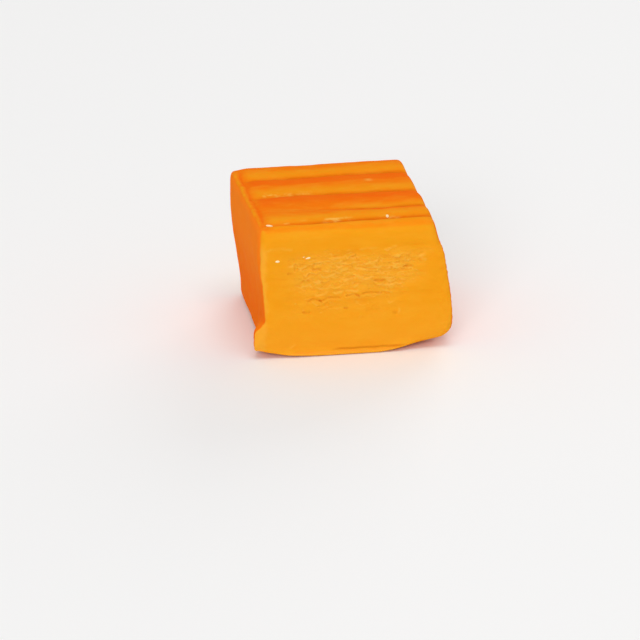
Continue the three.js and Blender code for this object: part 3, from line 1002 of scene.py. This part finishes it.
# How a spot's pair of numbers is found on each side: from which way, and as which point outside the chew.
clearOfChew = 20  # further out than any point of it
grainSides = {
    "front": (Vector((0, 1, 0)), lambda across, up: Vector((across, -clearOfChew, up))),
    "back": (Vector((0, -1, 0)), lambda across, up: Vector((across, clearOfChew, up))),
    "right": (Vector((-1, 0, 0)), lambda across, up: Vector((clearOfChew, across, up))),
    "top": (Vector((0, 0, -1)), lambda across, inwards: Vector((across, inwards, clearOfChew))),
}

# The grains are as pale as the white glints they sit on: partly the sugar's own pale colour, partly a
# painted glint.
paleSugarGlint = {
    "light": (0.99, 0.88, 0.58, 1),
    "dark": (0.98, 0.72, 0.32, 1),
    "patches": {"scale": 3.0, "detail": 3.0},
    "rough": 0.22,
    "lightBend": 1.5,
}


def makePaleSugar():
    look = paleSugarGlint
    material, pen, shader = newMaterial("paleSugarGlint")
    patch = pen.noise(objectPlace(pen), **look["patches"])
    pen.feed(shader.inputs["Base Color"], blend(pen, patch, look["dark"], look["light"]))
    setInputs(shader, {"Roughness": look["rough"], "IOR": look["lightBend"]})
    return material


def grainPoints(chew):
    # one point for each grain, on the surface, with its size, length and the way it faces
    skin = bmesh.new()
    skin.from_mesh(chew.data)
    tree = BVHTree.FromBMesh(skin)
    skin.free()
    places = []
    facings = []
    for spot in grainSpots.values():
        inwards, outside = grainSides[spot["side"]]
        place, facing = tree.ray_cast(outside(*spot["at"]) * mm, inwards)[:2]
        places.append(place)
        facings.extend(facing)
    mesh = bpy.data.meshes.new("sugarGrains")
    mesh.from_pydata(places, [], [])
    mesh.attributes.new("facing", "FLOAT_VECTOR", "POINT").data.foreach_set("vector", facings)
    for label in ("size", "drawnOut"):
        amounts = [spot[label] for spot in grainSpots.values()]
        mesh.attributes.new(label, "FLOAT", "POINT").data.foreach_set("value", amounts)
    return mesh


def storedValue(pen, name, kind):
    return pen.add("GeometryNodeInputNamedAttribute", {"Name": name}, data_type=kind).outputs[0]


def makeGrainTree(sizes):
    pen, given, output = newTree("sugarGrains", sizes)
    grain = pen.add("GeometryNodeMeshIcoSphere", {"Radius": mm, "Subdivisions": grainSurface["roundness"]})
    half = pen.product(storedValue(pen, "size", "FLOAT"), given["Grain Size"])
    scale = pen.join(pen.product(half, storedValue(pen, "drawnOut", "FLOAT")),
                     pen.product(half, given["Grain Width"]), pen.product(half, given["Grain Height"]))
    turn = pen.add("FunctionNodeAlignRotationToVector",
                   {"Vector": storedValue(pen, "facing", "FLOAT_VECTOR")}, axis="Z", pivot_axis="AUTO")
    grains = pen.add("GeometryNodeInstanceOnPoints",
                     {"Points": given["Geometry"], "Instance": grain.outputs[0],
                      "Rotation": turn.outputs[0], "Scale": scale})
    grains = pen.add("GeometryNodeRealizeInstances", {"Geometry": grains.outputs[0]})
    place = pen.add("GeometryNodeInputPosition").outputs[0]
    offset = pen.scaled(pen.drift(place, grainSurface["lumpsPerMm"] / mm), grainSurface["lumpDepth"] * mm)
    lumpy = pen.add("GeometryNodeSetPosition", {"Geometry": grains.outputs[0], "Offset": offset})
    shaded = pen.add("GeometryNodeSetShadeSmooth", {"Geometry": lumpy.outputs[0]})
    endTree(pen, shaded.outputs[0], given["Finish"], output)
    return pen.tree


def makeGrains(chew):
    grains = addObject("sugarGrains", grainPoints(chew))
    sizes = {**sugarGrains, "Finish": makePaleSugar()}
    growMesh(grains, makeGrainTree(sizes), sizes)
    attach(grains, "root")
    print("sugar grains:", len(grainSpots))


makeGrains(makeChew())


# Floor, light and camera

studio = {
    "floor": (0.95, 0.945, 0.94, 1),
    "floorRough": 0.7,
    "floorRadius": 2.0,  # metres
    "floorSides": 96,
    "sky": (1, 1, 1, 1),
    "skyStrength": 0.5,
}

# Angles in degrees, distances and sizes in metres.
lamps = {
    "key": {"azimuth": -22, "elevation": 24, "away": 2.0, "size": 0.8, "watts": 13.2},
    "top": {"azimuth": 0, "elevation": 78, "away": 2.0, "size": 1.4, "watts": 11.6},
    "fill": {"azimuth": 150, "elevation": 15, "away": 2.0, "size": 1.2, "watts": 10.0},
}


def fromAngles(azimuth, elevation):
    # azimuth 0 is in front of the chew, and a negative one to its left
    turn = math.radians(azimuth)
    rise = math.radians(elevation)
    return Vector((math.sin(turn) * math.cos(rise), -math.cos(turn) * math.cos(rise), math.sin(rise)))


def makeFloor():
    mesh = bpy.data.meshes.new("floor")
    disc = bmesh.new()
    bmesh.ops.create_circle(disc, cap_ends=True, segments=studio["floorSides"], radius=studio["floorRadius"])
    disc.to_mesh(mesh)
    disc.free()
    material, _, shader = newMaterial("paleFloor")
    setInputs(shader, {"Base Color": studio["floor"], "Roughness": studio["floorRough"]})
    mesh.materials.append(material)
    addObject("floor", mesh)


def makeLamp(name, setting, middle):
    light = bpy.data.lights.new(name, "AREA")
    light.shape = "DISK"
    light.size = setting["size"]
    light.energy = setting["watts"]
    lamp = addObject(name, light)
    lamp.location = middle + fromAngles(setting["azimuth"], setting["elevation"]) * setting["away"]
    lamp.rotation_euler = (middle - lamp.location).to_track_quat("-Z", "Y").to_euler()


def makeWorld():
    world = bpy.data.worlds.new("studio")
    world.use_nodes = True
    setInputs(world.node_tree.nodes["Background"],
              {"Color": studio["sky"], "Strength": studio["skyStrength"]})
    bpy.context.scene.world = world


view = {
    "azimuth": -10.0,
    "elevation": 20.5,
    "away": 0.7,                 # metres
    "pixelsPerMm": 9.1,
    "sensor": 36,
    "frame": 640,                # the picture's width in pixels
    "originAt": (337.1, 320.6),  # pixel on which the middle of the base falls
}


def makeCamera():
    lens = bpy.data.cameras.new("camera")
    lens.sensor_width = view["sensor"]
    lens.lens = view["sensor"] * view["pixelsPerMm"] * view["away"] / mm / view["frame"]
    camera = addObject("camera", lens)
    outward = fromAngles(view["azimuth"], view["elevation"])
    turn = (-outward).to_track_quat("-Z", "Y")
    half = view["frame"] / 2
    sideways = (half - view["originAt"][0]) / view["pixelsPerMm"] * mm
    upwards = (view["originAt"][1] - half) / view["pixelsPerMm"] * mm
    camera.location = turn @ Vector((sideways, upwards, 0)) + outward * view["away"]
    camera.rotation_euler = turn.to_euler()
    bpy.context.scene.camera = camera


middle = Vector((0, 0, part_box("chew")[1].z / 2))
makeFloor()
for name, setting in lamps.items():
    makeLamp(name, setting, middle)
makeWorld()
makeCamera()
bpy.context.scene.view_settings.view_transform = "Standard"
print("studio ready")
